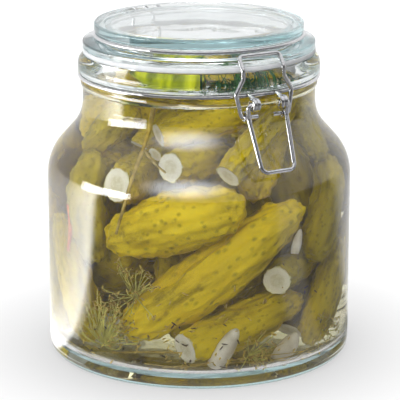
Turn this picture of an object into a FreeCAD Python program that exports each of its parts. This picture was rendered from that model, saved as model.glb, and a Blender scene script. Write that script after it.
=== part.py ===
"""Clip-top canning jar with a hinged glass lid, a wire clasp and its filling. Millimetres, +Z up.

The jar stands on z = 0 with its axis on Z. The clasp faces -Y and the lid's hinge is at +Y.
"""
import FreeCAD, Part
import math
import os
import re
import Sketcher
from FreeCAD import Placement, Rotation, Vector

os.makedirs("parts", exist_ok=True)
doc = FreeCAD.newDocument("canning_jar")

# ---------------------------------------------------------------- sizes
SIZES = {
    # glass jar
    "body_diameter": 151.0, "wall": 4.0, "base_thickness": 6.5, "base_corner": 5.0, "inner_corner": 9.0,
    "foot_width": 13.0, "foot_recess": 2.0, "foot_slope": 3.0,
    "shoulder_start": 90.0, "shoulder_rise": 37.6, "shoulder_ease": 0.825, "bulge_share": 0.55,
    "neck_diameter": 115.2, "neck_length": 6.6, "collar_height": 4.7, "collar_swell": 1.0, "seat_play": 0.1,
    "rim_swell": 2.2, "rim_height": 9.5, "rim_corner": 1.5, "rim_band": 2.6, "rim_top_inset": 2.4,
    "rim_top_curve": 8.0, "mouth_wall": 6.1, "mouth_corner": 1.2, "throat_depth": 8.3, "throat_slope": 3.3,
    # filling
    "headroom": 12.8, "fill_gap": 0.1,
    "strip_curve": 46.0, "strip_round": 9.5, "strip_wall": 3.2, "strip_width": 7.5, "strip_depth": 7.0,
    "strip_play": 1.0,
    # gasket and lid
    "seal_gap": 0.2, "gasket_height": 2.8, "gasket_round": 1.0, "gasket_bore_gap": 0.5,
    "plug_gap": 1.7, "plug_wall": 4.4, "plug_length": 4.8, "plug_corner": 0.8,
    "flange_inset": 0.1, "flange_width": 7.3, "flange_edge": 2.4, "flange_bevel": 1.1, "flange_slope": 1.3,
    "groove_gap": 0.15, "disc_over_groove": 1.6, "disc_height": 5.0, "disc_corner": 1.2,
    "rim_ring": 4.8, "top_recess": 1.0, "lid_thickness": 4.5, "cavity_taper": 1.0,
    # wires
    "wire": 2.2, "wire_play": 0.05, "pin_play": 0.1, "side_play": 0.3, "bend_inside": 0.5,
    "hinge_reach": 5.5, "hinge_rise": 8.0, "leg_half": 7.0, "post_gap": 4.0, "hinge_bend": 2.2,
    "pivot_reach": 5.5, "pivot_drop": 3.1, "eye_place": 6.6, "turn_overlap": 0.3,
    "pin_stub": 0.6, "link_shift": 0.6, "link_lap": 0.02, "link_in": 3.1, "link_drop": 6.4,
    "lever_half": 8.9, "lever_length": 30.7, "lever_kick": 5.39, "lever_bend": 3.2,
    "clasp_play": 0.33, "bar_half": 11.1, "bar_seat": 0.1, "loop_bend": 2.0,
    "side_drop": 5.9, "rim_play": 0.6, "jog_drop": 9.9, "jog_width": 2.4, "wide_drop": 16.9, "loop_pin": 5.1,
}
sheet = doc.addObject("Spreadsheet::Sheet", "Sizes")
for row, (alias, size) in enumerate(SIZES.items(), start=1):
    sheet.set(f"A{row}", alias)
    sheet.set(f"B{row}", str(size))
    sheet.setAlias(f"B{row}", alias)
doc.recompute()


def bound(formula):
    """The formula with each size name written as a cell of the sheet."""
    return re.sub(r"[a-z_]{3,}", lambda m: f"Sizes.{m[0]}" if m[0] in SIZES else m[0], formula)


def worth(formula):
    """The formula's present value."""
    found = sheet.evalExpression(bound(formula))
    return float(getattr(found, "Value", found))


def bind(thing, **formulas):
    """Bind properties of a document object to formulas in size names."""
    for name, formula in formulas.items():
        thing.setExpression(name, bound(formula))
    return thing


# ---------------------------------------------------------------- shared heights and radii, as formulas
BODY_R, NECK_R = "(body_diameter/2)", "(neck_diameter/2)"
RIM_R, MOUTH_R = f"({NECK_R} + rim_swell)", f"({NECK_R} - mouth_wall)"
PLUG_R, GASKET_R = f"({MOUTH_R} - plug_gap)", f"({RIM_R} - rim_top_inset)"
FLANGE_R = f"({GASKET_R} - flange_inset)"
GROOVE_R = f"({FLANGE_R} - flange_width)"
DISC_R = f"({GROOVE_R} + disc_over_groove)"
SHOULDER_END = "(shoulder_start + shoulder_rise)"
COLLAR_Z = f"({SHOULDER_END} + neck_length)"
SEAT_Z = f"({COLLAR_Z} + collar_height)"
RING_Z = f"({SEAT_Z} + seat_play + wire/2)"
RIM_Z = f"({RING_Z} + wire/2 + seat_play)"
MOUTH_Z = f"({RIM_Z} + rim_height)"
LEVEL_Z = f"({MOUTH_Z} - headroom)"
GASKET_Z = f"({MOUTH_Z} + seal_gap)"
FLANGE_Z = f"({GASKET_Z} + gasket_height)"
PLUG_Z = f"({FLANGE_Z} - plug_length)"
GROOVE_Z = f"({FLANGE_Z} + flange_edge + flange_bevel + flange_slope)"
LID_RING_Z = f"({GROOVE_Z} + groove_gap + wire/2)"
DISC_Z = f"({LID_RING_Z} + wire/2 + groove_gap)"
TOP_Z = f"({DISC_Z} + disc_height)"
CEILING_Z = f"({TOP_Z} - top_recess - lid_thickness)"

# wire rings, and the (radius, height) of each axis that a wire turns on
RING_R, LID_RING_R = f"({NECK_R} + wire/2 + wire_play)", f"({GROOVE_R} + wire/2 + wire_play)"
EYE_R, TIGHT = "(wire + pin_play)", "(wire/2 + bend_inside)"
HINGE = (f"({NECK_R} + hinge_reach)", f"({RING_Z} + hinge_rise)")
PIVOT = (f"({RIM_R} + pivot_reach)", f"({RING_Z} - pivot_drop)")
LINK = (f"({PIVOT[0]} - link_in)", f"({PIVOT[1]} - link_drop)")
BAR = (f"({FLANGE_R} - flange_bevel + bar_seat)",
       f"({FLANGE_Z} + flange_edge + flange_bevel + wire/2 + clasp_play)")
# how far to the side each stretch of the clasp runs
TURN = "(wire - turn_overlap)"
LEVER_OUT = f"(eye_place + {TURN} + wire + side_play)"
LINK_HALF = f"({LEVER_OUT} - link_shift)"
LOOP_HALF = f"({LINK_HALF} + wire + side_play)"

# the shoulder is a bulge, a straight slope and a hollow that meet smoothly
DROP = f"({BODY_R} - {NECK_R})"
SLOPE = f"(2*shoulder_ease*atan({DROP}/shoulder_rise))"
ARCS = f"((shoulder_rise - {DROP}/tan({SLOPE}))/(sin({SLOPE}) - (1 - cos({SLOPE}))/tan({SLOPE})))"
BULGE, HOLLOW = f"({ARCS}*bulge_share)", f"({ARCS}*(1 - bulge_share))"


def shoulder(inset):
    """Outline points of the shoulder from the wall up to the neck, moved inwards by inset."""
    bulge, hollow = f"({BULGE} - {inset})", f"({HOLLOW} + {inset})"
    wall, neck = f"({BODY_R} - {inset})", f"({NECK_R} - {inset})"
    return [
        (wall, "shoulder_start", bulge, 1),
        (f"{wall} - {bulge}*(1 - cos({SLOPE}))", f"shoulder_start + {bulge}*sin({SLOPE})"),
        (f"{neck} + {hollow}*(1 - cos({SLOPE}))", f"{SHOULDER_END} - {hollow}*sin({SLOPE})", hollow, -1),
        (neck, SHOULDER_END),
    ]


# the lever's lower end stands off the shoulder's straight slope
TIP_Z = f"({PIVOT[1]} - lever_length)"
TIP_R = (f"({NECK_R} + {HOLLOW}*(1 - cos({SLOPE})) + lever_kick"
         f" + ({SHOULDER_END} - {HOLLOW}*sin({SLOPE}) - {TIP_Z})*tan({SLOPE}))")


# ---------------------------------------------------------------- makers
def arc_middle(start, end, radius, side):
    """The middle of the arc from start to end. side 1 has its centre on the left of the way."""
    chord = end - start
    half = chord.Length/2
    left = Vector(-chord.y, chord.x, 0).normalize()
    centre = (start + end)/2 + left*side*math.sqrt(max(radius**2 - half**2, 0))
    return centre - left*side*radius


def turned(name, outline):
    """A body turned about Z. outline: (radius, height) formulas, with (arc radius, side) where an arc follows."""
    body = doc.addObject("PartDesign::Body", name)
    sketch = body.newObject("Sketcher::SketchObject", f"{name}_outline")
    plane = [f for f in body.Origin.OriginFeatures if f.Role == "XZ_Plane"][0]
    sketch.AttachmentSupport = [(plane, "")]
    sketch.MapMode = "FlatFace"
    spots = [Vector(worth(p[0]), worth(p[1]), 0) for p in outline]
    ends = []
    for index, point in enumerate(outline):
        here, there = spots[index], spots[(index + 1) % len(spots)]
        if len(point) == 4:
            middle = arc_middle(here, there, worth(point[2]), point[3])
            edge = sketch.addGeometry(Part.Arc(here, middle, there))
            first = 1 if (sketch.getPoint(edge, 1) - here).Length < 1e-6 else 2
        else:
            edge = sketch.addGeometry(Part.LineSegment(here, there))
            first = 1
        ends.append((edge, first, 3 - first))
    for index, point in enumerate(outline):
        edge, first, last = ends[index]
        after, after_first, _ = ends[(index + 1) % len(ends)]
        sketch.addConstraint(Sketcher.Constraint("Coincident", edge, last, after, after_first))
        for kind, axis, formula, place in (("DistanceX", -2, point[0], spots[index].x),
                                           ("DistanceY", -1, point[1], spots[index].y)):
            if formula == "0":
                sketch.addConstraint(Sketcher.Constraint("PointOnObject", edge, first, axis))
                continue
            held = sketch.addConstraint(Sketcher.Constraint(kind, -1, 1, edge, first, place))
            sketch.setExpression(f"Constraints[{held}]", bound(formula))
        if len(point) == 4:
            held = sketch.addConstraint(Sketcher.Constraint("Radius", edge, worth(point[2])))
            sketch.setExpression(f"Constraints[{held}]", bound(point[2]))
    spin = body.newObject("PartDesign::Revolution", f"{name}_turned")
    spin.Profile = sketch
    spin.ReferenceAxis = (sketch, ["V_Axis"])
    spin.Angle = 360
    return body


def ring(name, radius, centre, lying=True):
    """A wire ring. lying rings turn about Z, the others about X."""
    torus = bind(doc.addObject("Part::Torus", name), Radius1=radius, Radius2="wire/2")
    torus.Placement = Placement(Vector(), Rotation() if lying else Rotation(Vector(0, 1, 0), 90))
    bind(torus, **{f"Placement.Base.{axis}": place for axis, place in zip("xyz", centre)})
    return torus


def route(points, bends):
    """A wire of straight runs with rounded corners."""
    points = [Vector(*[worth(c) for c in p]) for p in points]
    edges, here = [], points[0]
    for before, corner, after, bend in zip(points, points[1:], points[2:], bends):
        into, out = (corner - before).normalize(), (after - corner).normalize()
        turn = into.getAngle(out)
        reach, radius = math.tan(turn/2)*worth(bend), worth(bend)
        start, end = corner - into*reach, corner + out*reach
        inward = (out - into).normalize()
        middle = corner + inward*(radius/math.cos(turn/2) - radius)
        edges += [Part.makeLine(here, start), Part.Arc(start, middle, end).toShape()]
        here = end
    return Part.Wire(edges + [Part.makeLine(here, points[-1])])


def bent(name, points, bends):
    """Round wire bent along points, with one bend radius for each inner point."""
    way = doc.addObject("Part::Feature", f"{name}_route")
    way.Shape = route(points, bends)
    section = bind(doc.addObject("Part::Circle", f"{name}_section"), Radius="wire/2")
    heading = way.Shape.Edges[0].tangentAt(way.Shape.Edges[0].FirstParameter)
    section.Placement = Placement(way.Shape.Edges[0].Vertexes[0].Point, Rotation(Vector(0, 0, 1), heading))
    doc.recompute([way, section])
    sweep = doc.addObject("Part::Sweep", name)
    sweep.Sections = [section]
    sweep.Spine = (way, [f"Edge{n + 1}" for n in range(len(way.Shape.Edges))])
    sweep.Solid = True
    return sweep


def joined(name, pieces):
    """One solid of several."""
    fuse = doc.addObject("Part::MultiFuse", name)
    fuse.Shapes = pieces
    fuse.Refine = True
    return fuse


def mirrored(points):
    """A right-hand half route, from its inner end to the middle, with its mirror image added."""
    return points + [(f"-({x})", y, z) for x, y, z in reversed(points)]


def out(radius):
    """The y of a place that far in front of the axis."""
    return f"-({radius})"


# ---------------------------------------------------------------- glass jar
BEAD = "((collar_height^2/4 + collar_swell^2)/(2*collar_swell))"
jar = turned("jar", [
    ("0", "foot_recess"),
    (f"{BODY_R} - base_corner - foot_width - foot_slope", "foot_recess"),
    (f"{BODY_R} - base_corner - foot_width", "0"),
    (f"{BODY_R} - base_corner", "0", "base_corner", 1),
    (BODY_R, "base_corner"),
    *shoulder("0"),
    (NECK_R, COLLAR_Z, BEAD, 1),
    (NECK_R, SEAT_Z),
    (NECK_R, RIM_Z),
    (f"{RIM_R} - rim_corner", RIM_Z, "rim_corner", 1),
    (RIM_R, f"{RIM_Z} + rim_corner"),
    (RIM_R, f"{RIM_Z} + rim_corner + rim_band", "rim_top_curve", 1),
    (GASKET_R, MOUTH_Z),
    (f"{MOUTH_R} + mouth_corner", MOUTH_Z, "mouth_corner", 1),
    (MOUTH_R, f"{MOUTH_Z} - mouth_corner"),
    (MOUTH_R, f"{MOUTH_Z} - throat_depth"),
    (f"{NECK_R} - wall", f"{MOUTH_Z} - throat_depth - throat_slope"),
    # the same shoulder from the neck down: each arc now starts at its other end
    (f"{NECK_R} - wall", SHOULDER_END, f"({HOLLOW} + wall)", 1),
    shoulder("wall")[2][:2],
    (*shoulder("wall")[1][:2], f"({BULGE} - wall)", -1),
    shoulder("wall")[0][:2],
    (f"{BODY_R} - wall", "base_thickness + inner_corner", "inner_corner", -1),
    (f"{BODY_R} - wall - inner_corner", "base_thickness"),
    ("0", "base_thickness"),
])

# ---------------------------------------------------------------- filling: pepper strips in brine
# the heap's middle as shares of the mouth radius, then each strip: place to the right and to the back of
# that middle, height above the level, heading, tilt, roll and half length
HEAP = (-0.554, -0.328)
STRIPS = [
    (-5.77, 1.44, -0.7, 58, -4, 6, 13.4),
    (3.71, -11.18, 1.4, 14, 7, -8, 15.0),
    (2.01, 9.68, 3.2, 42, -14, 10, 10.4),
]
throat = doc.addObject("Part::Cylinder", "throat")
bind(throat, **{"Radius": f"{MOUTH_R} - strip_play", "Height": "2*headroom",
                "Placement.Base.z": f"{PLUG_Z} - strip_play - 2*headroom"})


def strip(number, right, back, above, heading, tilt, roll, half_length, taken):
    """A pointed strip of pepper flesh: part of a bent tube's wall inside an egg, kept inside the throat
    and clear of the strips that are there already."""
    name = f"pepper_{number}"
    skin = bind(doc.addObject("Part::Torus", f"{name}_skin"), Radius1="strip_curve", Radius2="strip_round")
    seeds = bind(doc.addObject("Part::Torus", f"{name}_seed_side"),
                 Radius1="strip_curve", Radius2="strip_round - strip_wall")
    flesh = doc.addObject("Part::Cut", f"{name}_flesh")
    flesh.Base, flesh.Tool = skin, seeds
    egg = bind(doc.addObject("Part::Ellipsoid", f"{name}_egg"),
               Radius1="strip_depth", Radius2="strip_width", Radius3=f"{half_length}")
    egg.Placement = Placement(Vector(), Rotation(Vector(0, 1, 0), 90))
    bind(egg, **{"Placement.Base.x": "strip_curve + strip_round - strip_wall/2"})
    whole = doc.addObject("Part::Common", f"{name}_whole")
    whole.Base, whole.Tool = flesh, egg
    # the middle of the seed side comes to the place given, with the skin up
    stand = Rotation(heading, roll, tilt)*Rotation(Vector(0, 1, 0), -90)
    reach = worth("strip_curve + strip_round - strip_wall")
    place = Vector(HEAP[0]*worth(MOUTH_R) + right, HEAP[1]*worth(MOUTH_R) + back, worth(LEVEL_Z) + above)
    whole.Placement = Placement(place, stand)*Placement(Vector(-reach, 0, 0), Rotation())
    kept = doc.addObject("Part::Common", f"{name}_in_throat" if taken else name)
    kept.Base, kept.Tool = whole, throat
    for place, other in enumerate(taken, start=1):
        cut = doc.addObject("Part::Cut", name if other is taken[-1] else f"{name}_cut_{place}")
        cut.Base, cut.Tool = kept, other
        kept = cut
    return kept


peppers = []
for number, row in enumerate(STRIPS, start=1):
    peppers.append(strip(number, *row, taken=list(peppers)))

FILL = "(wall + fill_gap)"
pool = turned("brine_pool", [
    ("0", "base_thickness + fill_gap"),
    (f"{BODY_R} - wall - inner_corner", "base_thickness + fill_gap", "(inner_corner - fill_gap)", 1),
    (f"{BODY_R} - {FILL}", "base_thickness + inner_corner"),
    *shoulder(FILL),
    (f"{NECK_R} - {FILL}", LEVEL_Z),
    ("0", LEVEL_Z),
])
sunk = doc.addObject("Part::MultiFuse", "sunk_strips")
sunk.Shapes = peppers
brine = doc.addObject("Part::Cut", "brine")
brine.Base, brine.Tool = pool, sunk

# ---------------------------------------------------------------- gasket and lid
gasket = turned("gasket", [
    (f"{PLUG_R} + gasket_bore_gap", GASKET_Z),
    (f"{GASKET_R} - gasket_round", GASKET_Z, "gasket_round", 1),
    (GASKET_R, f"{GASKET_Z} + gasket_round"),
    (GASKET_R, f"{FLANGE_Z} - gasket_round", "gasket_round", 1),
    (f"{GASKET_R} - gasket_round", FLANGE_Z),
    (f"{PLUG_R} + gasket_bore_gap", FLANGE_Z),
])
lid = turned("lid", [
    ("0", f"{TOP_Z} - top_recess"),
    ("0", CEILING_Z),
    (f"{PLUG_R} - plug_wall - cavity_taper - disc_corner", CEILING_Z, "disc_corner", -1),
    (f"{PLUG_R} - plug_wall - cavity_taper", f"{CEILING_Z} - disc_corner"),
    (f"{PLUG_R} - plug_wall", f"{PLUG_Z} + plug_corner", "plug_corner", 1),
    (f"{PLUG_R} - plug_wall + plug_corner", PLUG_Z),
    (f"{PLUG_R} - plug_corner", PLUG_Z, "plug_corner", 1),
    (PLUG_R, f"{PLUG_Z} + plug_corner"),
    (PLUG_R, FLANGE_Z),
    (FLANGE_R, FLANGE_Z),
    (FLANGE_R, f"{FLANGE_Z} + flange_edge", "flange_bevel", 1),
    (f"{FLANGE_R} - flange_bevel", f"{FLANGE_Z} + flange_edge + flange_bevel"),
    (GROOVE_R, GROOVE_Z),
    (GROOVE_R, DISC_Z),
    (f"{DISC_R} - disc_corner", DISC_Z, "disc_corner", 1),
    (DISC_R, f"{DISC_Z} + disc_corner"),
    (DISC_R, f"{TOP_Z} - disc_corner", "disc_corner", 1),
    (f"{DISC_R} - disc_corner", TOP_Z),
    (f"{DISC_R} - rim_ring", TOP_Z),
    (f"{DISC_R} - rim_ring - top_recess", f"{TOP_Z} - top_recess"),
])

# ---------------------------------------------------------------- wires
# the hinge posts stand outside the legs and carry the pin through the legs' eyes
POST = "(leg_half + post_gap)"
post = [(POST, RING_R, RING_Z), (POST, HINGE[0], RING_Z), (POST, *HINGE)]
eyes, arms = [], []
for side, word in ((-1, "left"), (1, "right")):
    for turn in range(2):
        eyes.append(ring(f"eye_{word}_{turn + 1}", EYE_R,
                         (f"{side}*(eye_place + {turn}*{TURN})", out(PIVOT[0]), PIVOT[1]), lying=False))
    across = f"{side}*(eye_place + {TURN}/2)"
    arms.append(bent(f"eye_arm_{word}", [(across, out(f"{RING_R} - wire/4"), RING_Z),
                                         (across, out(f"{RING_R} + wire"), RING_Z),
                                         (across, out(PIVOT[0]), f"{PIVOT[1]} + {EYE_R}")], ["wire"]))
neck_wire = joined("neck_wire", [ring("neck_ring", RING_R, ("0", "0", RING_Z)), *eyes, *arms,
                                 bent("hinge_bracket", mirrored(post), ["hinge_bend"]*4)])

legs = []
for side, word in ((-1, "left"), (1, "right")):
    across = f"{side}*leg_half"
    behind = f"{HINGE[0]} + {EYE_R}"
    legs += [bent(f"leg_{word}", [(across, f"{LID_RING_R} - wire/4", LID_RING_Z), (across, behind, LID_RING_Z),
                                  (across, behind, HINGE[1])], ["hinge_bend"]),
             ring(f"leg_eye_{word}", EYE_R, (across, *HINGE), lying=False)]
lid_wire = joined("lid_wire", [ring("lid_ring", LID_RING_R, ("0", "0", LID_RING_Z)), *legs])

arm = [
    ("eye_place - wire/2 - pin_stub", out(PIVOT[0]), PIVOT[1]),
    (LEVER_OUT, out(PIVOT[0]), PIVOT[1]),
    (LINK_HALF, out(f"{LINK[0]} + {EYE_R} - link_lap"), LINK[1]),
    ("lever_half", out(TIP_R), TIP_Z),
]
links = [ring(f"link_eye_{word}", EYE_R, (f"{side}*{LINK_HALF}", out(LINK[0]), LINK[1]), lying=False)
         for side, word in ((-1, "left"), (1, "right"))]
lever = joined("lever", [bent("lever_wire", mirrored(arm), [TIGHT] + ["lever_bend"]*4 + [TIGHT]), *links])

# the sides of the loop stand clear of the glass rim, which curves away from the middle
clear = f"(sqrt({RIM_R}^2 - bar_half^2) + wire/2 + rim_play)"
side_wire = [
    (f"{LINK_HALF} - wire/2 - loop_pin", out(LINK[0]), LINK[1]),
    (LOOP_HALF, out(LINK[0]), LINK[1]),
    (f"{LOOP_HALF} + jog_width", out(f"{clear} + 0.7"), f"{BAR[1]} - wide_drop"),
    ("bar_half", out(f"{clear} + 0.3"), f"{BAR[1]} - jog_drop"),
    ("bar_half", out(clear), f"{BAR[1]} - side_drop"),
    ("bar_half", out(BAR[0]), BAR[1]),
]
bends = [TIGHT] + ["loop_bend"]*4
clasp_loop = bent("clasp_loop", mirrored(side_wire), bends + bends[::-1])

# ---------------------------------------------------------------- check and write
NODES = [jar, brine, *peppers, gasket, lid, neck_wire, lid_wire, lever, clasp_loop]
for node in NODES:
    node.Label = node.Name
doc.recompute()
for thing in doc.Objects:
    assert not {"Invalid", "Error"} & set(thing.State), f"{thing.Name} is {thing.State}"
for node in NODES:
    shape = node.Shape
    assert not shape.isNull() and shape.isValid(), f"{node.Name} has no sound shape"
    assert len(shape.Solids) == 1, f"{node.Name} has {len(shape.Solids)} solids"
    shape.exportStep(f"parts/{node.Name}.step")
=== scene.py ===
import math
import random
from collections import namedtuple

import bpy
import numpy as np
from mathutils import Matrix, Vector


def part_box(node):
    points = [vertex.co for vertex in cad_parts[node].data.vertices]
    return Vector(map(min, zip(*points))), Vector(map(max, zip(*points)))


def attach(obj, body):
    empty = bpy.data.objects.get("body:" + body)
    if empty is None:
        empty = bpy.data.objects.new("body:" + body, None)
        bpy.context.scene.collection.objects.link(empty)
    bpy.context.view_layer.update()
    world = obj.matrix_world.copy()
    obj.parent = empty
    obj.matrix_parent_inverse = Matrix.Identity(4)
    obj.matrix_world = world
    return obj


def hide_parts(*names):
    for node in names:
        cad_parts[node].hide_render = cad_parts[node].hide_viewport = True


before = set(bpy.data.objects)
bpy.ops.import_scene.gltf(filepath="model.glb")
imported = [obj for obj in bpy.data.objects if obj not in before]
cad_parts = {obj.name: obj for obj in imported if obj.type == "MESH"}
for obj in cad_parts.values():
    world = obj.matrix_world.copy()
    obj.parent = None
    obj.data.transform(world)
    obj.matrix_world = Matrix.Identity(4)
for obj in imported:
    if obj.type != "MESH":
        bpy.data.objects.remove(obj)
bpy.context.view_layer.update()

random.seed(31)
MM = 0.001

# level directions from the jar's axis: towards the camera, and to the camera's right
FRONT = Vector((-0.5, -0.866, 0.0))
SIDE = Vector((0.866, -0.5, 0.0))

# ---------------------------------------------------------------- sizes, in mm
BODY_R, WALL, FLOOR_Z, INNER_CORNER = 75.5, 4.0, 6.5, 9.0
# the shoulder: where it starts and ends, its steepest slope, the radii of its two arcs, and the neck above it
SHOULDER_START, SHOULDER_END, SLOPE = 90.0, 127.6, math.radians(42.0)
BULGE, HOLLOW, NECK_R = 25.4, 20.8, 57.6
LEVEL_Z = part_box("brine")[1].z/MM
# how far the brine reaches into the glass, and how far the gasket stays off the lid
OVERLAP, LIGHT_GAP = 0.25, 0.08


# ---------------------------------------------------------------- helpers
def clean():
    """Object mode, nothing selected."""
    if bpy.context.object and bpy.context.object.mode != "OBJECT":
        bpy.ops.object.mode_set(mode="OBJECT")
    bpy.ops.object.select_all(action="DESELECT")


def edit(obj, everything=True):
    """Edit mode on one object alone."""
    clean()
    obj.select_set(True)
    bpy.context.view_layer.objects.active = obj
    bpy.ops.object.mode_set(mode="EDIT")
    bpy.ops.mesh.select_mode(type="FACE")
    bpy.ops.mesh.select_all(action="SELECT" if everything else "DESELECT")


def pick(obj, test):
    """Selects the faces that pass test(centre, normal), in edit mode."""
    bpy.ops.object.mode_set(mode="OBJECT")
    for face in obj.data.polygons:
        face.select = test(face.center, face.normal)
    bpy.ops.object.mode_set(mode="EDIT")


def modify(obj, kind, **settings):
    """Adds a modifier and applies it."""
    clean()
    obj.select_set(True)
    bpy.context.view_layer.objects.active = obj
    changed = obj.modifiers.new(kind.lower(), kind)
    for key, value in settings.items():
        setattr(changed, key, value)
    bpy.ops.object.modifier_apply(modifier=changed.name)


def smooth(obj, angle=None):
    """Shades a piece smooth, or only where its faces meet at less than an angle in degrees."""
    clean()
    obj.select_set(True)
    bpy.context.view_layer.objects.active = obj
    if angle is None:
        bpy.ops.object.shade_smooth()
    else:
        bpy.ops.object.shade_smooth_by_angle(angle=math.radians(angle))


def lathed(name, rings, segments):
    """A closed piece along Z: a disc pushed up through rings of (height, radius) in mm."""
    clean()
    bpy.ops.mesh.primitive_circle_add(vertices=segments, radius=rings[0][1]*MM, fill_type="NGON")
    obj = bpy.context.object
    obj.name = name
    bpy.ops.object.mode_set(mode="EDIT")
    bpy.ops.mesh.select_mode(type="FACE")
    bpy.ops.mesh.select_all(action="SELECT")
    bpy.ops.transform.translate(value=(0, 0, rings[0][0]*MM))
    for (low, small), (high, large) in zip(rings, rings[1:]):
        bpy.ops.mesh.extrude_region_move(TRANSFORM_OT_translate={"value": (0, 0, (high - low)*MM)})
        grow = large/small
        bpy.ops.transform.resize(value=(grow, grow, 1), center_override=(0, 0, high*MM))
    bpy.ops.mesh.select_all(action="SELECT")
    bpy.ops.mesh.normals_make_consistent(inside=False)
    bpy.ops.object.mode_set(mode="OBJECT")
    return obj


def placed(master, name, matrix):
    """A copy with its own mesh, put in place in the mesh."""
    obj = master.copy()
    obj.data = master.data.copy()
    obj.name = obj.data.name = name
    bpy.context.collection.objects.link(obj)
    obj.data.transform(matrix)
    return obj


def one_piece(name, parts):
    """Joins several objects into one."""
    clean()
    for part in parts:
        part.select_set(True)
    bpy.context.view_layer.objects.active = parts[0]
    bpy.ops.object.join()
    parts[0].name = parts[0].data.name = name
    return parts[0]


def drop(*objects):
    """Removes helpers and masters."""
    for obj in objects:
        bpy.data.objects.remove(obj, do_unlink=True)


def turned_to(direction, roll=0.0):
    """The turn that takes +Z to a direction, after a roll about it."""
    return Vector(direction).to_track_quat("Z", "Y").to_matrix().to_4x4() @ Matrix.Rotation(roll, 4, "Z")


def dress(obj, material, body="jar_body"):
    """Gives a piece its finish and its body."""
    if material is not None:
        obj.data.materials.clear()
        obj.data.materials.append(material)
    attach(obj, body)


# ---------------------------------------------------------------- materials
class Nodes:
    """Short names for building a material's nodes."""

    def __init__(self, name):
        self.material = bpy.data.materials.new(name)
        self.material.use_nodes = True
        self.tree = self.material.node_tree
        self.shader = self.tree.nodes["Principled BSDF"]
        self.output = self.tree.nodes["Material Output"]

    def set(self, **values):
        for key, value in values.items():
            self.shader.inputs[key.replace("_", " ")].default_value = value
        return self

    def add(self, kind, inputs=None, **settings):
        node = self.tree.nodes.new(kind)
        for key, value in settings.items():
            setattr(node, key, value)
        for key, value in (inputs or {}).items():
            if isinstance(value, bpy.types.NodeSocket):
                self.tree.links.new(value, node.inputs[key])
            else:
                node.inputs[key].default_value = value
        return node

    def link(self, source, socket):
        self.tree.links.new(source, self.shader.inputs[socket])

    def place(self, attribute=None, scale=(1, 1, 1)):
        """Where a point is: on the finished object, or in a stored attribute of the piece."""
        if attribute:
            spot = self.add("ShaderNodeAttribute", attribute_name=attribute).outputs["Vector"]
        else:
            spot = self.add("ShaderNodeTexCoord").outputs["Object"]
        return self.add("ShaderNodeMapping", {"Vector": spot, "Scale": scale}).outputs["Vector"]

    def noise(self, spot, scale, detail=3.0, rough=0.5):
        return self.add("ShaderNodeTexNoise", {"Vector": spot, "Scale": scale, "Detail": detail,
                                               "Roughness": rough}).outputs["Fac"]

    def ramp(self, value, *stops):
        node = self.add("ShaderNodeValToRGB", {"Fac": value})
        ramp = node.color_ramp
        while len(ramp.elements) < len(stops):
            ramp.elements.new(0.5)
        for element, (position, colour) in zip(ramp.elements, stops):
            element.position = position
            element.color = (*colour, 1.0)
        return node.outputs["Color"]

    def mix(self, share, first, second, blend="MIX"):
        node = self.add("ShaderNodeMix", data_type="RGBA", blend_type=blend)
        for socket, value in ((node.inputs[0], share), (node.inputs[6], first), (node.inputs[7], second)):
            if isinstance(value, bpy.types.NodeSocket):
                self.tree.links.new(value, socket)
            else:
                socket.default_value = value
        return node.outputs[2]

    def bump(self, height, strength, distance, normal=None):
        inputs = {"Height": height, "Strength": strength, "Distance": distance}
        if normal is not None:
            inputs["Normal"] = normal
        out = self.add("ShaderNodeBump", inputs).outputs["Normal"]
        self.link(out, "Normal")
        return out


def rgba(r, g, b):
    return (r, g, b, 1.0)


def glass(name, tint, density, ripple):
    """Clear pressed glass with a slight tint in its depth."""
    nodes = Nodes(name).set(Base_Color=rgba(1, 1, 1), Roughness=0.0, IOR=1.5, Transmission_Weight=1.0)
    absorb = nodes.add("ShaderNodeVolumeAbsorption", {"Color": rgba(*tint), "Density": density})
    nodes.tree.links.new(absorb.outputs[0], nodes.output.inputs["Volume"])
    if ripple:
        nodes.bump(nodes.noise(nodes.place(), 38.0, 1.0), ripple, 0.002)
    return nodes.material


jar_glass = glass("jar_glass", (0.50, 0.72, 0.73), 10.0, 0.12)
lid_glass = glass("lid_glass", (0.40, 0.60, 0.62), 17.0, 0.08)

brine_nodes = Nodes("brine").set(Base_Color=rgba(1, 1, 1), Roughness=0.0, IOR=1.35, Transmission_Weight=1.0,
                                  Specular_IOR_Level=0.1)
absorb = brine_nodes.add("ShaderNodeVolumeAbsorption", {"Color": rgba(0.84, 0.77, 0.42), "Density": 12.0})
brine_nodes.tree.links.new(absorb.outputs[0], brine_nodes.output.inputs["Volume"])
brine_nodes.bump(brine_nodes.noise(brine_nodes.place(), 55.0, 1.0), 0.05, 0.001)
brine_look = brine_nodes.material

wire_nodes = Nodes("clasp_wire").set(Metallic=1.0, Roughness=0.07)
wire_nodes.link(wire_nodes.ramp(wire_nodes.noise(wire_nodes.place(scale=(1, 1, 3)), 900.0, 4.0),
                                (0.3, (0.50, 0.50, 0.51)), (0.7, (0.80, 0.80, 0.81))), "Base Color")
wire_nodes.bump(wire_nodes.noise(wire_nodes.place(), 1400.0), 0.08, 0.0002)
wire_look = wire_nodes.material

gasket_nodes = Nodes("gasket_silicone").set(Roughness=0.42, IOR=1.42)
gasket_nodes.link(gasket_nodes.ramp(gasket_nodes.noise(gasket_nodes.place(), 160.0),
                                    (0.3, (0.40, 0.41, 0.42)), (0.7, (0.48, 0.49, 0.50))), "Base Color")
gasket_nodes.bump(gasket_nodes.noise(gasket_nodes.place(), 1200.0), 0.1, 0.0003)
gasket_look = gasket_nodes.material


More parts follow.
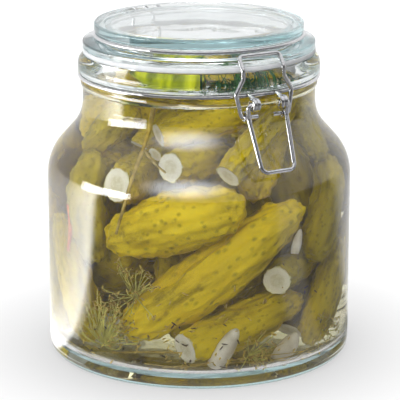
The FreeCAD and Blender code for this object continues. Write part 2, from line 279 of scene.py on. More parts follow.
def pepper_skin():
    """Yellow-green skin with dark green patches."""
    nodes = Nodes("pepper_flesh").set(Roughness=0.40, IOR=1.42, Specular_IOR_Level=0.08)
    patch = nodes.noise(nodes.place(scale=(1, 1, 2)), 90.0, 3.0)
    skin = nodes.ramp(patch, (0.36, (0.03, 0.045, 0.0003)), (0.50, (0.27, 0.31, 0.0006)),
                      (0.64, (0.62, 0.60, 0.002)))
    nodes.link(skin, "Base Color")
    nodes.bump(nodes.noise(nodes.place(), 260.0, 2.0), 0.25, 0.0008)
    return nodes.material


pepper_look = pepper_skin()


def gherkin_skin():
    """Yellow skin with paler stripes, dark warts and a fine grain.

    The attribute rest is the place on the straight gherkin, and tone says how brown a gherkin is.
    """
    nodes = Nodes("gherkin_skin").set(Roughness=0.38, IOR=1.40, Specular_IOR_Level=0.12)
    long_way = nodes.place("rest", (1.0, 1.0, 0.16))
    stripes = nodes.noise(long_way, 320.0, 3.0, 0.55)
    patch = nodes.noise(nodes.place("rest", (1, 1, 0.5)), 75.0, 3.0)
    base = nodes.ramp(patch, (0.30, (0.22, 0.16, 0.001)), (0.45, (0.62, 0.44, 0.002)),
                      (0.60, (0.93, 0.70, 0.006)))
    streaked = nodes.mix(nodes.ramp(stripes, (0.42, (0, 0, 0)), (0.66, (0.8, 0.8, 0.8))), base,
                         rgba(0.82, 0.63, 0.012))
    warts = nodes.add("ShaderNodeTexVoronoi", {"Vector": nodes.place("rest"), "Scale": 300.0},
                      feature="F1").outputs["Distance"]
    wart_mask = nodes.ramp(warts, (0.14, (1, 1, 1)), (0.36, (0, 0, 0)))
    spotted = nodes.mix(nodes.ramp(warts, (0.12, (0.5, 0.5, 0.5)), (0.34, (0, 0, 0))), streaked,
                        rgba(0.20, 0.15, 0.002))
    fine = nodes.noise(nodes.place("rest"), 1500.0, 4.0, 0.6)
    grained = nodes.mix(nodes.ramp(fine, (0.40, (0, 0, 0)), (0.7, (0.35, 0.35, 0.35))), spotted,
                        rgba(0.88, 0.70, 0.03))
    tone = nodes.add("ShaderNodeAttribute", attribute_name="tone").outputs["Fac"]
    nodes.link(nodes.mix(tone, grained, rgba(0.15, 0.13, 0.006)), "Base Color")
    first = nodes.bump(wart_mask, 0.5, 0.0006)
    nodes.bump(fine, 0.25, 0.0004, first)
    return nodes.material


def gherkin_flesh():
    """The pale cut end: a darker seed core in firmer flesh. core is 0 in the middle and 1 at the rim."""
    nodes = Nodes("gherkin_flesh").set(Roughness=0.30, IOR=1.40, Specular_IOR_Level=0.12)
    core = nodes.add("ShaderNodeAttribute", attribute_name="core").outputs["Fac"]
    rings = nodes.ramp(core, (0.0, (0.64, 0.60, 0.42)), (0.42, (0.70, 0.66, 0.48)),
                       (0.55, (0.82, 0.79, 0.66)), (0.86, (0.84, 0.81, 0.68)), (1.0, (0.60, 0.56, 0.20)))
    seeds = nodes.noise(nodes.place("rest"), 520.0, 3.0)
    nodes.link(nodes.mix(nodes.ramp(seeds, (0.45, (0, 0, 0)), (0.65, (0.45, 0.45, 0.45))), rings,
                         rgba(0.90, 0.90, 0.78)), "Base Color")
    nodes.bump(seeds, 0.3, 0.0005)
    return nodes.material


def plain_food(name, dark, light, scale, roughness=0.4):
    """A mottled look between two colours. scale is that of the mottles."""
    nodes = Nodes(name).set(Roughness=roughness, IOR=1.42, Specular_IOR_Level=0.12)
    spot = nodes.place()
    nodes.link(nodes.ramp(nodes.noise(spot, scale, 4.0), (0.32, dark), (0.68, light)), "Base Color")
    nodes.bump(nodes.noise(spot, scale*3, 3.0), 0.3, 0.0006)
    return nodes.material


skin_look, flesh_look = gherkin_skin(), gherkin_flesh()
garlic_look = plain_food("garlic", (0.62, 0.56, 0.42), (0.84, 0.80, 0.68), 140.0, 0.32)
dill_look = plain_food("dill", (0.015, 0.065, 0.02), (0.05, 0.17, 0.04), 500.0)
stalk_look = plain_food("dill_stalk", (0.32, 0.22, 0.03), (0.58, 0.44, 0.11), 300.0)
umbel_look = plain_food("umbel", (0.50, 0.46, 0.08), (0.82, 0.78, 0.22), 300.0)
seed_look = plain_food("seeds", (0.36, 0.22, 0.03), (0.78, 0.62, 0.16), 700.0, 0.35)
dark_seed_look = plain_food("dark_seeds", (0.03, 0.02, 0.01), (0.14, 0.09, 0.04), 700.0, 0.3)
red_look = plain_food("red_pepper", (0.55, 0.10, 0.02), (0.80, 0.28, 0.05), 260.0, 0.25)

# ---------------------------------------------------------------- the finished nodes
for name, look in (("jar", jar_glass), ("lid", lid_glass), ("neck_wire", wire_look),
                   ("lid_wire", wire_look), ("lever", wire_look), ("clasp_loop", wire_look),
                   ("pepper_1", pepper_look), ("pepper_2", pepper_look), ("pepper_3", pepper_look)):
    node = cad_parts[name]
    node.data.materials.clear()
    node.data.materials.append(look)


# ---------------------------------------------------------------- brine, a hair into the glass all round
CORNER_STEPS, SHOULDER_STEPS = 6, 8


def arc(steps, turn, height, radius):
    """Points of an arc. height and radius give a point's place from the angle turned so far."""
    return [(height(turn*step/steps), radius(turn*step/steps)) for step in range(steps + 1)]


def inner_wall():
    """The jar's inner wall from the floor to the brine's level, as (height, radius)."""
    wall_r, neck_r = BODY_R - WALL + OVERLAP, NECK_R - WALL + OVERLAP
    bulge, hollow = BULGE - WALL, HOLLOW + WALL
    corner = arc(CORNER_STEPS, math.pi/2, lambda turn: FLOOR_Z + INNER_CORNER*(1 - math.cos(turn)),
                 lambda turn: wall_r - INNER_CORNER*(1 - math.sin(turn)))
    lower = arc(SHOULDER_STEPS, SLOPE, lambda turn: SHOULDER_START + bulge*math.sin(turn),
                lambda turn: wall_r - bulge*(1 - math.cos(turn)))
    upper = arc(SHOULDER_STEPS, SLOPE, lambda turn: SHOULDER_END - hollow*math.sin(turn),
                lambda turn: neck_r + hollow*(1 - math.cos(turn)))
    floor_edge = (FLOOR_Z - OVERLAP, wall_r - INNER_CORNER)
    return [floor_edge] + corner[1:] + lower + upper[::-1] + [(LEVEL_Z, neck_r)]


inner = inner_wall()
brine = lathed("brine_fill", inner, 128)
# two rings inside each flat face keep its shading flat
edit(brine, everything=False)
pick(brine, lambda centre, normal: abs(normal.z) > 0.999)
for width in (4, 20):
    bpy.ops.mesh.inset(thickness=width*MM)
smooth(brine, 40)
dress(brine, brine_look)
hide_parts("brine")

# ---------------------------------------------------------------- gasket
# its top lies a hair under the lid's glass, so that light finds the way between them
solid_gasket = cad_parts["gasket"]
spots = [vertex.co for vertex in solid_gasket.data.vertices]
reach = [math.hypot(spot.x, spot.y) for spot in spots]
low, high = min(spot.z for spot in spots), max(spot.z for spot in spots) - LIGHT_GAP*MM
clean()
bpy.ops.mesh.primitive_cylinder_add(vertices=128, radius=max(reach), depth=high - low)
gasket = bpy.context.object
gasket.name = gasket.data.name = "gasket_ring"
edit(gasket, everything=False)
pick(gasket, lambda centre, normal: abs(normal.z) > 0.99)
bpy.ops.mesh.inset(thickness=max(reach) - min(reach))
bpy.ops.mesh.bridge_edge_loops()
bpy.ops.mesh.select_all(action="SELECT")
bpy.ops.transform.translate(value=(0, 0, (high + low)/2))
bpy.ops.mesh.normals_make_consistent(inside=False)
modify(gasket, "BEVEL", width=0.7*MM, segments=3, limit_method="ANGLE", angle_limit=math.radians(50))
smooth(gasket, 40)
dress(gasket, gasket_look, "lid_body")
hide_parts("gasket")

# ---------------------------------------------------------------- gherkins: the straight masters
# each end is either the rounded blossom end or a flat cut, as (height, radius)
HALF, GIRTH = 30.0, 12.0
ROUND_END = [(-HALF, 1.8), (-29.1, 4.6), (-27.0, 7.0), (-23.0, 9.2), (-17.0, 10.9)]
CUT_END = [(-HALF, 8.8), (-29.7, 9.1), (-28.0, 9.5), (-23.5, 10.3), (-17.0, 11.2)]
MIDDLE = [(-9.0, GIRTH), (0.0, 11.9), (9.0, GIRTH)]
CORE_R = 9.2
TEXTURES = {}
for label, kind, scale in (("lumps", "CLOUDS", 16), ("warts", "VORONOI", 4.4), ("ridges", "CLOUDS", 6)):
    TEXTURES[label] = bpy.data.textures.new(label, kind)
    TEXTURES[label].noise_scale = scale*MM


def press_texture(obj, label, strength, mid_level, **settings):
    """Pushes a piece's surface in and out by one of the textures. strength is in mm."""
    modify(obj, "DISPLACE", texture=TEXTURES[label], strength=strength*MM, mid_level=mid_level, **settings)


def master_gherkin(name, low, high):
    """A straight gherkin along Z with warts and faint ridges. low and high are its two ends."""
    top = [(-height, radius) for height, radius in reversed(high)]
    obj = lathed(name, low + MIDDLE + top, 20)
    edit(obj, everything=False)
    pick(obj, lambda centre, normal: abs(centre.z) > (HALF - 0.1)*MM)
    for width in (0.4, 0.6 if low is ROUND_END and high is ROUND_END else 2.2):
        bpy.ops.mesh.inset(thickness=width*MM, use_individual=True)
    modify(obj, "SUBSURF", levels=2)
    start = [vertex.co.z for vertex in obj.data.vertices]
    # long shallow ridges come from a texture drawn out lengthways
    drawn_out = bpy.data.objects.new("drawn_out", None)
    bpy.context.collection.objects.link(drawn_out)
    drawn_out.scale = (1, 1, 12)
    bpy.context.view_layer.update()
    press_texture(obj, "ridges", 2.6, 0.5, texture_coords="OBJECT", texture_coords_object=drawn_out)
    drop(drawn_out)
    press_texture(obj, "lumps", 3.0, 0.5)
    press_texture(obj, "warts", -2.6, 0.35)
    # a cut end stays flat, and its skin stops at the knife's edge
    flats = [sign*HALF*MM for sign, end in ((-1, low), (1, high)) if end is CUT_END]
    for vertex, height in zip(obj.data.vertices, start):
        for flat in flats:
            if abs(height - flat) < 0.4*MM:
                vertex.co.z = flat
    obj.data.materials.append(skin_look)
    obj.data.materials.append(flesh_look)
    for face in obj.data.polygons:
        face.material_index = 1 if any(abs(face.center.z - flat) < 0.25*MM for flat in flats) else 0
    for label, kind in (("rest", "FLOAT_VECTOR"), ("core", "FLOAT"), ("tone", "FLOAT")):
        obj.data.attributes.new(label, kind, "POINT")
    spots, core = obj.data.attributes["rest"], obj.data.attributes["core"]
    for number, vertex in enumerate(obj.data.vertices):
        spots.data[number].vector = vertex.co
        core.data[number].value = min(math.hypot(vertex.co.x, vertex.co.y)/(CORE_R*MM), 1.0)
    smooth(obj, 50)
    return obj


WHOLE = master_gherkin("whole", ROUND_END, ROUND_END)
CUT_LOW = master_gherkin("cut_low", CUT_END, ROUND_END)

# ---------------------------------------------------------------- gherkins: where they lie, in mm
# the gherkins in front: both ends, radius, bend, and which end is blunt; a blunt first end is a cut
FRONT_GHERKINS = [
    ("top_cut", (-37.0, -27.9, 117.6), (6.4, -33.8, 127.9), 9.0, 1.5, "low"),
    ("second_cut", (-38.6, -43.4, 102.1), (5.0, -29.9, 96.5), 9.4, 1.5, "low"),
    ("left_cut", (-56.8, -22.3, 92.6), (-20.6, -5.7, 92.4), 9.5, 1.0, "low"),
    ("under_clasp", (-17.9, -60.8, 96.0), (23.8, -34.7, 128.5), 8.0, 1.5, "low"),
    ("ridged", (-56.8, -20.7, 71.7), (-5.4, -59.8, 91.0), 14.0, 2.0, ""),
    ("long", (-52.0, -28.0, 31.5), (27.1, -57.4, 87.3), 13.8, 2.5, "high"),
    ("low_cut", (-33.9, -51.6, 20.7), (27.0, -46.8, 40.5), 11.0, 1.5, "low"),
    ("mid_cut", (9.2, -58.9, 46.5), (43.8, -15.8, 55.7), 9.6, 1.5, "low"),
    ("behind_clasp", (2.1, -47.6, 82.0), (28.5, -29.4, 114.7), 11.0, 1.5, ""),
    ("small_a", (-39.8, -17.4, 108.7), (-19.0, -12.3, 127.4), 5.8, 1.0, "low"),
    ("small_b", (-35.8, -21.1, 103.5), (-13.4, -17.1, 108.2), 5.4, 1.0, "low"),
    ("left_up_1", (-56.4, -3.7, 105.6), (-62.6, 5.1, 54.5), 11.0, 2.5, ""),
    ("left_up_2", (-62.8, 9.2, 77.7), (-60.4, 0.0, 14.3), 11.0, 2.5, ""),
    ("left_top", (-38.4, -9.1, 129.7), (-55.7, 4.3, 95.0), 9.5, 1.5, ""),
    ("right_up_1", (36.8, -50.1, 97.3), (29.0, -54.7, 50.0), 11.0, 2.5, ""),
    ("right_up_2", (43.4, -46.9, 66.0), (25.8, -54.3, 13.2), 10.5, 2.5, ""),
    ("right_top", (23.7, -25.2, 121.8), (37.4, -48.5, 97.5), 9.5, 1.5, ""),
]
BACK_GHERKINS = 25
# the room inside the wall, as (height, radius), and the play that a gherkin keeps all round
ROOM = [(6.5, 62.5), (9.0, 68.0), (15.5, 71.5), (90.0, 71.5), (95.0, 71.0), (99.0, 70.2), (106.0, 67.0),
        (112.0, 62.0), (119.0, 56.4), (124.0, 54.2), (127.6, 53.6), (145.0, 53.6)]
WALL_PLAY, FLOOR_PLAY, BETWEEN, TOP_Z = 0.6, 0.4, 0.15, 135.5
BALLS, SETTLING_STEPS, HASTE = 9, 1500, 0.6
# how near a gherkin's end its last ball stands and how large it is, in radii: a blunt end, then a round one
END_SETBACK, END_BALL = (0.25, 0.72), (0.85, 0.72)
# a heavy gherkin in front hardly moves, and nothing behind starts further forward than this
HEAVY, LIGHT, FOREMOST = 0.03, 1.0, 18
# a gherkin before it is made; the lighter of two gives way to the other
Lying = namedtuple("Lying", "name middle along length radius bend blunt light")


def unit(vectors):
    """Vectors of length 1, one in each row."""
    return vectors/np.linalg.norm(vectors, axis=-1, keepdims=True)


def dropped_in(number, draw):
    """A gherkin at a random place behind those in front, steep by the wall and at any tilt inside."""
    radius, length = draw.uniform(10.2, 13.2), draw.uniform(52, 74)
    while True:
        turn, reach = draw.uniform(0, math.tau), 62*math.sqrt(draw.uniform(0, 1))
        middle = np.array([reach*math.cos(turn), reach*math.sin(turn), draw.uniform(18, 118)])
        if np.dot(middle, FRONT) < FOREMOST:
            break
    tilt = math.radians(draw.uniform(20, 80) if reach > 35 else draw.uniform(0, 90))
    sideways = draw.choice([-1, 1])*math.cos(tilt)
    along = np.array([-math.sin(turn)*sideways, math.cos(turn)*sideways, math.sin(tilt)])
    bend = draw.uniform(1.5, 4)
    blunt = "low" if draw.uniform() < 0.4 else ""
    return Lying(f"back_{number + 1}", middle, along, length, radius, bend, blunt, LIGHT)


def settle(lying, draw):
    """Pushes the gherkins apart and off the glass until they only touch.

    A row of balls stands in for each one. A ball that presses into another, the wall, the floor or the top
    of the brine is pushed back, which moves and turns its gherkin. Gives middles, directions and bulges.
    """
    middle, along = np.array([one.middle for one in lying]), unit(np.array([one.along for one in lying]))
    length, radius, bend, light = (np.array([[getattr(one, size)] for one in lying])
                                   for size in ("length", "radius", "bend", "light"))
    low, high = (np.array([[one.blunt == end] for one in lying]) for end in ("low", "high"))
    # the bend bulges outwards, or anyhow where a gherkin points outwards itself
    bulge = unit(np.cross(along, draw.normal(size=middle.shape)))
    outward = unit(middle*(1, 1, 0))
    outward -= along*(outward*along).sum(1, keepdims=True)
    clear = np.linalg.norm(outward, axis=1) > 0.3
    bulge[clear] = unit(outward[clear])

    # the balls, as shares of the length, get smaller towards the ends
    first, last = (np.where(blunt, *END_SETBACK)*radius/length for blunt in (low, high))
    last = 1 - last
    share = first + (last - first)*np.linspace(0, 1, BALLS)
    off = 2*share - 1
    ball = radius*np.sqrt(1 - 0.30*np.abs(off)**2.2)
    ball[:, :1], ball[:, -1:] = (radius*np.where(blunt, *END_BALL) for blunt in (low, high))
    ball = ball.ravel()
    touch = ball[:, None] + ball + BETWEEN
    touch[np.kron(np.eye(len(lying)), np.ones((BALLS, BALLS))) > 0] = 0
    yields = np.repeat(light, BALLS)
    yields = yields[:, None]/(yields[:, None] + yields)
    heights, reaches = zip(*ROOM)
    for _ in range(SETTLING_STEPS):
        arms = ((share - 0.5)*length)[..., None]*along[:, None] \
            + (bend*(0.5 - off*off))[..., None]*bulge[:, None]
        spots = (middle[:, None] + arms).reshape(-1, 3)
        squares = (spots*spots).sum(1)
        apart = np.sqrt(np.maximum(squares[:, None] + squares - 2*spots @ spots.T, 1e-9))
        press = np.clip(touch - apart, 0, None)*yields/apart
        push = 0.5*(spots*press.sum(1)[:, None] - press @ spots)
        reach, height = np.hypot(spots[:, 0], spots[:, 1]), spots[:, 2]
        room = np.minimum(np.interp(height, heights, reaches) - ball,
                          np.interp(height + 0.7*ball, heights, reaches) - 0.71*ball) - WALL_PLAY
        inwards = np.column_stack((-spots[:, 0]/reach, -spots[:, 1]/reach,
                                   np.where(height > SHOULDER_START, -0.5, 0)))
        push += inwards*np.clip(reach - room, 0, None)[:, None]
        push[:, 2] += np.clip(FLOOR_Z + FLOOR_PLAY + ball - height, 0, None)
        push[:, 2] -= np.clip(height + ball - TOP_Z, 0, None)
        push = push.reshape(arms.shape)
        middle = middle + 1.6*HASTE*push.mean(1)
        twist = np.cross(arms, push).sum(1)/(arms**2).sum((1, 2))[:, None]
        along = unit(along + 1.2*HASTE*np.cross(twist, along))
        bulge = unit(bulge - along*(bulge*along).sum(1, keepdims=True))
    return middle, along, bulge


draw = np.random.default_rng(11)
lying = []
for name, low, high, radius, bend, blunt in FRONT_GHERKINS:
    low, high = np.array(low), np.array(high)
    along = high - low
    lying.append(Lying(name, (low + high)/2, along, np.linalg.norm(along), radius, bend, blunt, HEAVY))
lying += [dropped_in(number, draw) for number in range(BACK_GHERKINS)]

# how brown each gherkin in front is; the others vary
TONES = {"ridged": 0.0, "long": 0.05, "top_cut": 0.12, "second_cut": 0.30, "low_cut": 0.30, "left_cut": 0.35,
         "under_clasp": 0.32}
for one, middle, along, bulge in zip(lying, *settle(lying, draw)):
    obj = placed(CUT_LOW if one.blunt == "low" else WHOLE, f"gherkin_{one.name}",
                 Matrix.Rotation(random.uniform(0, math.tau), 4, "Z"))
    grow, stretch = one.radius/GIRTH, one.length/(2*HALF)
    obj.data.transform(Matrix.Diagonal((grow, grow, stretch, 1)))
    modify(obj, "SIMPLE_DEFORM", deform_method="BEND", deform_axis="Y", angle=-8*one.bend/one.length)
    along, bulge = Vector(along), Vector(bulge)
    turn = Matrix((bulge, along.cross(bulge), along)).transposed().to_4x4()
    centre = (Vector(middle) + bulge*one.bend/2)*MM
    obj.data.transform(Matrix.Translation(centre) @ turn)
    tone = TONES.get(one.name, random.uniform(0.25, 0.6))
    for entry in obj.data.attributes["tone"].data:
        entry.value = tone
    dress(obj, None)
drop(WHOLE, CUT_LOW)


# ---------------------------------------------------------------- garlic
def clove(name, middle, along, length, width):
    """A peeled clove: plump on one side, pointed at the tip, cut flat at the root."""
    tip_z, root_z = 0.24*length*MM, -0.38*length*MM
    clean()
    bpy.ops.mesh.primitive_uv_sphere_add(segments=24, ring_count=14, radius=0.5)
    obj = bpy.context.object
    edit(obj)
    bpy.ops.transform.resize(value=(width*MM, width*0.82*MM, length*MM), center_override=(0, 0, 0))
    pick(obj, lambda centre, normal: centre.z > tip_z)
    bpy.ops.transform.resize(value=(0.55, 0.55, 1.15), center_override=(0, 0, tip_z))
    bpy.ops.transform.translate(value=(0.12*width*MM, 0, 0))
    bpy.ops.mesh.select_all(action="SELECT")
    bpy.ops.mesh.bisect(plane_co=(0, 0, root_z), plane_no=(0.1, 0, 1), use_fill=True, clear_inner=True)
    modify(obj, "BEVEL", width=0.6*MM, segments=2, limit_method="ANGLE", angle_limit=math.radians(50))
    modify(obj, "SUBSURF", levels=2)
    press_texture(obj, "lumps", 1.6, 0.5)
    smooth(obj)
    obj.data.transform(Matrix.Translation(Vector(middle)*MM) @ turned_to(along, random.uniform(0, 6)))
    obj.name = obj.data.name = name
    dress(obj, garlic_look)


clove("garlic_wedge", (-20.0, -58.6, 17.5), (0.38, -0.30, 0.88), 24, 19)
clove("garlic_round", (9.0, -59.6, 14.6), (0.50, -0.20, 0.75), 18, 18)
clove("garlic_high", (15.8, -62.6, 66.5), (0.3, 0.1, 0.95), 13, 9)
clove("garlic_back", (2.0, 52.0, 14.5), (-0.5, 0.4, 0.6), 19, 13)
clove("garlic_side", (-20.0, 58.0, 13.5), (0.6, 0.2, 0.6), 17, 13)


# ---------------------------------------------------------------- dill: stalks, umbels, feathery tops
def thread(name, ways, look):
    """Thin round stems as one mesh, each thinner towards its end. ways: (points in mm, width in mm)."""
    curve = bpy.data.curves.new(name, "CURVE")
    curve.dimensions, curve.bevel_depth, curve.bevel_resolution, curve.resolution_u = "3D", 1.0*MM, 1, 4
    for way, width in ways:
        spline = curve.splines.new("NURBS")
        spline.points.add(len(way) - 1)
        spline.use_endpoint_u, spline.order_u = True, min(4, len(way))
        for number, (point, place) in enumerate(zip(spline.points, way)):
            point.co = (*(Vector(place)*MM), 1.0)
            point.radius = width/2*(1 - 0.6*number/len(way))
    obj = bpy.data.objects.new(name, curve)
    bpy.context.collection.objects.link(obj)
    clean()
    obj.select_set(True)
    bpy.context.view_layer.objects.active = obj
    bpy.ops.object.convert(target="MESH")
    smooth(bpy.context.object)
    dress(bpy.context.object, look)


def anyway(spread):
    """A random step in any direction."""
    return Vector([random.uniform(-spread, spread) for _ in range(3)])


def wander(start, direction, length, steps, bend):
    """Points of a stem that starts in a direction and bends at random."""
    here, heading, points = Vector(start), Vector(direction).normalized(), [Vector(start)]
    for _ in range(steps):
        heading = (heading + anyway(bend)).normalized()
        here = here + heading*length/steps
        points.append(here)
    return points


def kept_in(points, gap):
    """Pulls points inside the glass and the brine."""
    held = []
    for point in points:
        limit = next((radius for height, radius in inner if height >= point.z), NECK_R - WALL) - OVERLAP - gap
        reach = math.hypot(point.x, point.y)
        pull = min(1.0, limit/max(reach, 0.01))
        held.append(Vector((point.x*pull, point.y*pull, max(FLOOR_Z + gap, point.z))))
    return held


# the thick stalk by the glass with its side branch, then thinner ones: start, direction, length, width
THICK = [(-41.0, -30.0, 134.0), (-50.0, -34.0, 114.0), (-58.5, -34.5, 92.0), (-62.0, -31.0, 74.0)]
BRANCH = [(-50.0, -34.0, 112.0), (-48.0, -38.0, 106.0), (-43.0, -44.0, 103.0)]
THIN_STALKS = [
    ((30.0, 38.0, 128.0), (0.3, 0.3, -0.9), 80, 1.6),
    ((52.0, -20.0, 100.0), (0.3, 0.1, -0.95), 70, 1.5),
    ((-40.0, -52.0, 9.5), (0.9, -0.2, 0.02), 66, 1.2),
    ((-58.0, -22.0, 12.0), (0.5, -0.5, 0.1), 50, 1.1),
    ((-30.0, -58.0, 12.0), (0.7, -0.1, 0.12), 48, 0.9),
    ((-46.0, -46.0, 8.5), (0.8, -0.4, 0.03), 60, 0.8),
    ((-10.0, -64.0, 10.0), (0.9, 0.1, 0.02), 44, 0.8),
    ((-52.0, -40.0, 10.0), (0.4, -0.7, 0.02), 36, 0.7),
]
stalks = [(kept_in(map(Vector, THICK), 1.4), 2.6), (kept_in(map(Vector, BRANCH), 1.2), 1.5)]
for start, direction, length, width in THIN_STALKS:
    stalks.append((kept_in(wander(start, direction, length, 7, 0.10), 1.2), width))
thread("dill_stalks", stalks, stalk_look)

# the umbels: root, direction, number of rays, reach
UMBELS = [
    ((-50.0, -30.0, 42.0), (-0.6, -0.55, 0.45), 26, 20),
    ((-60.0, -19.0, 15.0), (-0.3, -0.5, 0.8), 70, 25),
    ((-8.0, -58.0, 13.0), (-0.2, -0.9, 0.1), 20, 15),
    ((30.0, -50.0, 18.0), (0.6, -0.7, 0.2), 20, 16),
    ((40.0, 40.0, 30.0), (0.6, 0.6, 0.3), 24, 20),
    ((-40.0, 45.0, 40.0), (-0.6, 0.6, 0.3), 24, 20),
]
heads, dots = [], []
for root, direction, rays, reach in UMBELS:
    for _ in range(rays):
        way = Vector(direction).normalized() + anyway(0.75)
        points = kept_in(wander(root, way, reach*random.uniform(0.7, 1.1), 4, 0.18), 0.8)
        heads.append((points, 0.65))
        for _ in range(2):
            tip = points[-1] + anyway(2.2)
            heads.append((kept_in([points[-2], points[-1], tip], 0.8), 0.4))
            dots.append(kept_in([tip], 1.2)[0])
thread("dill_umbels", heads, umbel_look)


def seeds(name, places, look, size):
    """Small pointed seeds, modelled once and copied, as one piece. size is in mm."""
    clean()
    bpy.ops.mesh.primitive_ico_sphere_add(subdivisions=2, radius=0.5*MM)
    seed = bpy.context.object
    edit(seed)
    bpy.ops.transform.resize(value=(0.8*size, 0.55*size, 1.35*size), center_override=(0, 0, 0))
    pick(seed, lambda centre, normal: centre.z > 0.3*size*MM)
    bpy.ops.transform.resize(value=(0.6, 0.6, 1.2), center_override=(0, 0, 0.3*size*MM))
    smooth(seed)
    copies = []
    for number, place in enumerate(places):
        way = anyway(1)
        grow = random.uniform(0.8, 1.2)
        copies.append(placed(seed, f"{name}_{number}", Matrix.Translation(place*MM) @ turned_to(way)
                             @ Matrix.Scale(grow, 4)))
    drop(seed)
    dress(one_piece(name, copies), look)


def by_the_wall(count, low, high, from_deg, to_deg):
    """Places near the glass, in a range of heights and of angles round the jar."""
    found = []
    for _ in range(count):
        height, turn = random.uniform(low, high), math.radians(random.uniform(from_deg, to_deg))
        outside = Vector((80*math.cos(turn), 80*math.sin(turn), height))
        found += kept_in([outside], random.uniform(1.0, 3.5))
    return found


seeds("dill_seeds", dots + by_the_wall(60, 9, 50, -175, -85), seed_look, 2.0)
seeds("mustard_seeds", by_the_wall(70, 8, 22, 0, 360), seed_look, 2.1)
seeds("pepper_seeds", by_the_wall(40, 8, 34, -180, -90) + by_the_wall(30, 8, 60, -90, 180),
      dark_seed_look, 1.8)

# feathery tops lie on the brine, on the right of the pepper strips
FROND_ROOT_Z, FROND_LOW, FROND_HIGH, THROAT_R = 137.5, 136.5, 147.5, 48.0


def under_lid(point):
    """Keeps a frond inside the throat, on the brine and below the lid."""
    pull = min(1.0, THROAT_R/max(math.hypot(point.x, point.y), 1.0))
    return Vector((point.x*pull, point.y*pull, min(max(point.z, FROND_LOW), FROND_HIGH)))


fronds = []
for _ in range(34):
    right, near = random.uniform(-4, 40), random.uniform(6, 43)
    if math.hypot(right, near) > 45:
        continue
    root = SIDE*right + FRONT*near + Vector((0, 0, FROND_ROOT_Z))
    way = SIDE*random.uniform(-0.4, 0.7) + FRONT*random.uniform(-0.5, 0.6)
    way += Vector((0, 0, random.uniform(0.2, 0.7)))
    stem = wander(root, way, random.uniform(9, 17), 6, 0.22)
    fronds.append((stem, 0.8))
    for joint in stem[1:]:
        for _ in range(5):
            side = anyway(1)
            fronds.append((wander(joint, way*0.6 + side, random.uniform(3.0, 6.0), 3, 0.3), 0.5))
thread("dill_fronds", [([under_lid(point) for point in way], width) for way, width in fronds], dill_look)

# strips of red pepper by the glass: start, direction, length
RED_STRIPS = [((-68.0, 1.0, 82.0), (0.05, -0.1, -0.95), 24), ((60.0, -32.0, 60.0), (0.1, -0.1, -0.9), 20)]
for number, (start, direction, length) in enumerate(RED_STRIPS):
    strip = kept_in(wander(start, direction, length, 5, 0.15), 2.0)
    thread(f"red_strip_{number + 1}", [(strip, 4.0)], red_look)

# ---------------------------------------------------------------- floor, light, camera
# the floor glows white for the eye; for rays from the glass it glows as painted light, dim in front of the
# jar and in bright bands elsewhere that the glass shows as painted reflections, by the degrees to the right
# of the front
FLOOR_GLOW_BANDS = [(-180, 0.80), (-140, 0.90), (-110, 1.80), (-81, 6.00), (-77, 0.08), (54, 0.08),
          (58, 0.50), (73, 0.50), (77, 0.08), (112, 0.12), (125, 0.80), (180, 0.80)]
clean()
bpy.ops.mesh.primitive_plane_add(size=9.0)
floor = bpy.context.object
floor.name = "floor"
floor_nodes = Nodes("floor").set(Base_Color=rgba(0.08, 0.08, 0.081), Roughness=0.85, Specular_IOR_Level=0.1)
spot = floor_nodes.add("ShaderNodeTexCoord").outputs["Object"]
axes = [floor_nodes.add("ShaderNodeVectorMath", {0: spot, 1: axis}, operation="DOT_PRODUCT").outputs["Value"]
        for axis in (SIDE, FRONT)]
turn = floor_nodes.add("ShaderNodeMath", {0: axes[0], 1: axes[1]}, operation="ARCTAN2").outputs[0]
share = floor_nodes.add("ShaderNodeMapRange", {0: turn, 1: -math.pi, 2: math.pi, 3: 0.0, 4: 1.0}).outputs[0]
glow_ramp = floor_nodes.ramp(share, *[((degrees + 180)/360, (tone, tone, tone)) for degrees, tone in FLOOR_GLOW_BANDS])
# under the jar the glow bands end in a plain glowing disc, painted light on the base where the jar's shadow
# falls, and close round it the white for the eye is dimmed as a painted shadow
far = floor_nodes.add("ShaderNodeVectorMath", {0: spot}, operation="LENGTH").outputs["Value"]
beyond = floor_nodes.add("ShaderNodeMapRange", {0: far, 1: 0.078, 2: 0.086, 3: 0.0, 4: 1.0}).outputs[0]
# painted glow: the bands, and the disc under the jar at 0.75, seen only by rays from the glass
mirrored = floor_nodes.mix(beyond, rgba(0.75, 0.72, 0.72), glow_ramp)
# painted shadow: for the eye the floor's glow falls to 0.60 close round the jar
painted_shadow = floor_nodes.add("ShaderNodeMapRange", {0: far, 1: 0.07, 2: 0.19, 3: 0.60, 4: 1.03}).outputs[0]
seen = floor_nodes.add("ShaderNodeLightPath").outputs["Is Camera Ray"]
floor_nodes.link(floor_nodes.mix(seen, mirrored, painted_shadow), "Emission Color")
floor_nodes.set(Emission_Strength=1.0)
floor.data.materials.append(floor_nodes.material)

# a white cove behind and a darker room in front, by how far ahead a ray points
ROOM_TONES = [(0.0, 0.10), (0.36, 0.14), (0.46, 0.34), (0.60, 0.55), (0.70, 0.95), (1.0, 1.0)]
world = bpy.data.worlds.new("studio")
bpy.context.scene.world = world
world.use_nodes = True
tree = world.node_tree
ground = tree.nodes["Background"]


def world_node(kind, *links, **settings):
    """Adds a node to the world. links: (socket, value or output)."""
    node = tree.nodes.new(kind)
    for key, value in settings.items():
        setattr(node, key, value)
    for socket, value in links:
        if isinstance(value, bpy.types.NodeSocket):
            tree.links.new(value, node.inputs[socket])
        else:
            node.inputs[socket].default_value = value
    return node


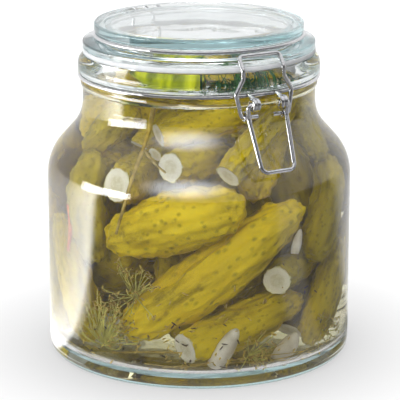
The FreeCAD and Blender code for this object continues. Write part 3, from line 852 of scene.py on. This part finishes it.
path = world_node("ShaderNodeLightPath")
place = world_node("ShaderNodeTexCoord").outputs["Generated"]
ahead = world_node("ShaderNodeVectorMath", (0, place), (1, -FRONT), operation="DOT_PRODUCT").outputs["Value"]
room = world_node("ShaderNodeMapRange", (0, ahead), (1, -1.0), (2, 1.0), (3, 0.0), (4, 1.0)).outputs[0]
tones = world_node("ShaderNodeValToRGB", (0, room))
ramp = tones.color_ramp
while len(ramp.elements) < len(ROOM_TONES):
    ramp.elements.new(0.5)
for element, (position, tone) in zip(ramp.elements, ROOM_TONES):
    element.position, element.color = position, (tone, tone, tone*1.01, 1)
height = world_node("ShaderNodeSeparateXYZ", (0, place)).outputs["Z"]
overhead = world_node("ShaderNodeMapRange", (0, height), (1, 0.40), (2, 0.70), (3, 0.0), (4, 1.0)).outputs[0]
lit = world_node("ShaderNodeMix", (0, overhead), (6, tones.outputs[0]), (7, rgba(0.95, 0.95, 0.96)),
                 data_type="RGBA").outputs[2]
# rays that leave the glass meet a paler room than the mirrored ones
through = world_node("ShaderNodeMapRange", (0, room), (1, 0.30), (2, 0.75), (3, 1.05), (4, 0.95)).outputs[0]
cleared = world_node("ShaderNodeMix", (0, path.outputs["Is Transmission Ray"]), (6, lit), (7, through),
                     data_type="RGBA").outputs[2]
shown = world_node("ShaderNodeMix", (0, path.outputs["Is Camera Ray"]), (6, cleared), (7, rgba(1, 1, 1)),
                   data_type="RGBA").outputs[2]
tree.links.new(shown, ground.inputs["Color"])
ground.inputs["Strength"].default_value = 1.0


def softbox(name, place, aim, size, power):
    """An area light at a place, turned to a point. size is its width and height."""
    light = bpy.data.lights.new(name, "AREA")
    light.shape, light.size, light.size_y, light.energy = "RECTANGLE", size[0], size[1], power
    obj = bpy.data.objects.new(name, light)
    bpy.context.collection.objects.link(obj)
    obj.location = place
    obj.rotation_euler = (Vector(aim) - Vector(place)).to_track_quat("-Z", "Y").to_euler()
    return obj


# how bright a feathered softbox is in its middle, against an even one
MIDDLE_GLOW = 2.9


def feather(light):
    """Lets a softbox fade towards its edges, as a diffuser does."""
    light.data.use_nodes = True
    tree = light.data.node_tree
    emission = next(node for node in tree.nodes if node.type == "EMISSION")
    spot = tree.nodes.new("ShaderNodeVectorMath")
    spot.operation = "SUBTRACT"
    spot.inputs[1].default_value = (0.5, 0.5, 0.0)
    away = tree.nodes.new("ShaderNodeVectorMath")
    away.operation = "LENGTH"
    fade = tree.nodes.new("ShaderNodeMapRange")
    fade.interpolation_type = "SMOOTHSTEP"
    for socket, value in ((1, 0.0), (2, 0.5), (3, MIDDLE_GLOW), (4, 0.0)):
        fade.inputs[socket].default_value = value
    geometry = tree.nodes.new("ShaderNodeNewGeometry")
    tree.links.new(geometry.outputs["Parametric"], spot.inputs[0])
    tree.links.new(spot.outputs[0], away.inputs[0])
    tree.links.new(away.outputs["Value"], fade.inputs[0])
    tree.links.new(fade.outputs[0], emission.inputs["Strength"])


def around(turn, distance, height):
    """A place round the jar: turn is in degrees to the right of the front."""
    turn = math.radians(turn)
    return (FRONT*math.cos(turn) + SIDE*math.sin(turn))*distance + Vector((0, 0, height))


MIDDLE_POINT = Vector((0, 0, 0.08))
softbox("left_box", around(-74, 1.2, 0.13), MIDDLE_POINT, (0.95, 0.25), 7)
for light in (softbox("front", around(-12, 1.45, 0.95), MIDDLE_POINT, (2.6, 2.0), 60),
              softbox("top", Vector((0.05, 0.15, 1.1)), MIDDLE_POINT, (0.9, 0.9), 18)):
    light.visible_glossy = False
    feather(light)

EYE_TURN, EYE_LOOKS_DOWN = -30.0, 15.31
camera = bpy.data.cameras.new("camera")
camera.lens, camera.sensor_width, camera.shift_x = 198.8, 36.0, 0.0025
eye = bpy.data.objects.new("camera", camera)
bpy.context.collection.objects.link(eye)
eye.location = (-0.53445, -0.92569, 0.3671)
eye.rotation_euler = (math.radians(90 - EYE_LOOKS_DOWN), 0, math.radians(EYE_TURN))
bpy.context.scene.camera = eye
bpy.context.scene.view_settings.view_transform = "Standard"
# light runs a long way round inside thick glass
cycles = bpy.context.scene.cycles
cycles.max_bounces, cycles.transmission_bounces, cycles.glossy_bounces = 40, 40, 32
